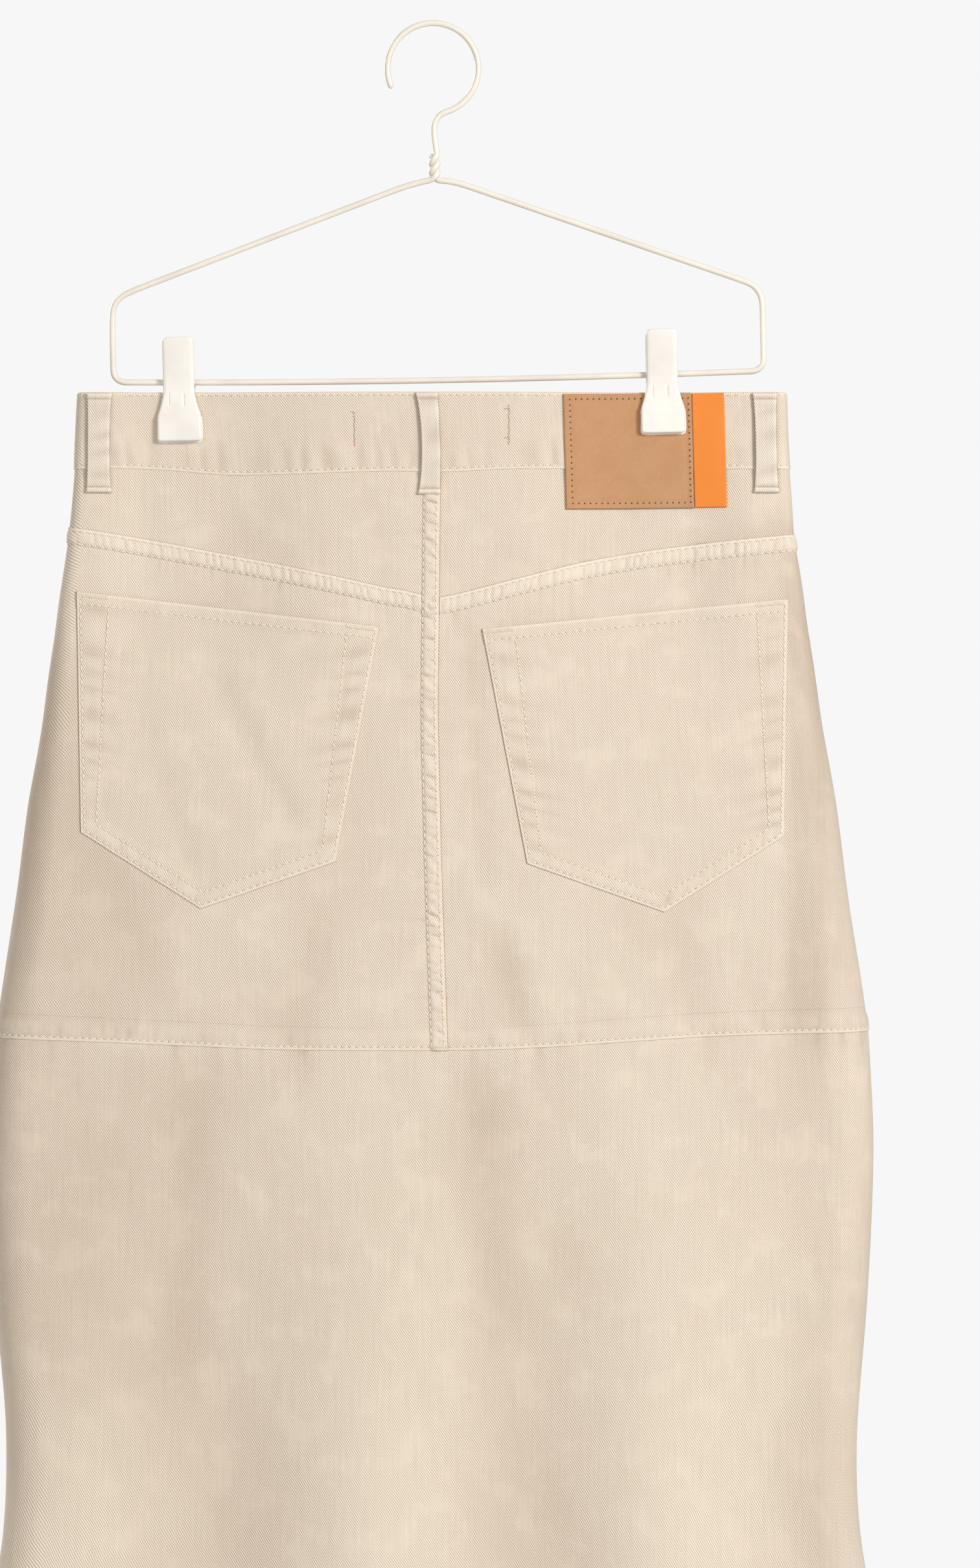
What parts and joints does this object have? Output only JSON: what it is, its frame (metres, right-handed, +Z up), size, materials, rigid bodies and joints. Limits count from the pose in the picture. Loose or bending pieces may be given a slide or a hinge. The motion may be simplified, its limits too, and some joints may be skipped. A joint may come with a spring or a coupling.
{
  "type": "denim mermaid skirt on a clip hanger",
  "caption": "Ecru denim mermaid skirt with a back yoke, patch pockets and belt loops, flared below the knee, hung from a wire hanger by clips.",
  "frame": {"origin": "top of the inside of the hanger's hook, where a rail carries it", "axes": "+Z up, +X to the right of someone who looks at the skirt's back, +Y from the skirt's back to its front"},
  "size_m": [0.6395, 0.1364, 1.0531],
  "materials": {
    "denim": "ecru cotton twill, unwashed, matt",
    "denim_trim": "ecru cotton twill, folded strips",
    "zip": "ecru woven tape with closed teeth",
    "kraft_board": "bare brown paper-leather board, matt",
    "orange_tape": "bright orange woven tape",
    "clip_plastic": "warm white moulded plastic",
    "coated_wire": "steel wire with a cream coating",
    "spring_steel": "bright strip steel",
    "button_brass": "aged brass, plain face"
  },
  "bodies": {
    "root": {"waistband_back_left": "denim", "waistband_back_right": "denim", "waistband_front_left": "denim", "waistband_front_right": "denim", "yoke_left": "denim", "yoke_right": "denim", "back_left": "denim", "back_right": "denim", "front_left": "denim", "front_right": "denim", "lower_back": "denim", "lower_front": "denim", "pocket_left": "denim", "pocket_right": "denim", "belt_loop_centre_back": "denim_trim", "belt_loop_back_left": "denim_trim", "belt_loop_back_right": "denim_trim", "belt_loop_front_left": "denim_trim", "belt_loop_front_right": "denim_trim", "waist_patch": "kraft_board", "patch_strip": "orange_tape", "fly_zip": "zip", "fly_shield": "denim_trim", "waist_button": "button_brass", "hanger_bar": "coated_wire", "hanger_upright_left": "coated_wire", "hanger_upright_right": "coated_wire", "hanger_arm_left": "coated_wire", "hanger_arm_right": "coated_wire", "hanger_neck": "coated_wire", "hanger_hook": "coated_wire", "clip_left_back_jaw": "clip_plastic", "clip_left_front_jaw": "clip_plastic", "clip_left_spring": "spring_steel", "clip_right_back_jaw": "clip_plastic", "clip_right_front_jaw": "clip_plastic", "clip_right_spring": "spring_steel"}
  },
  "joints": []
}
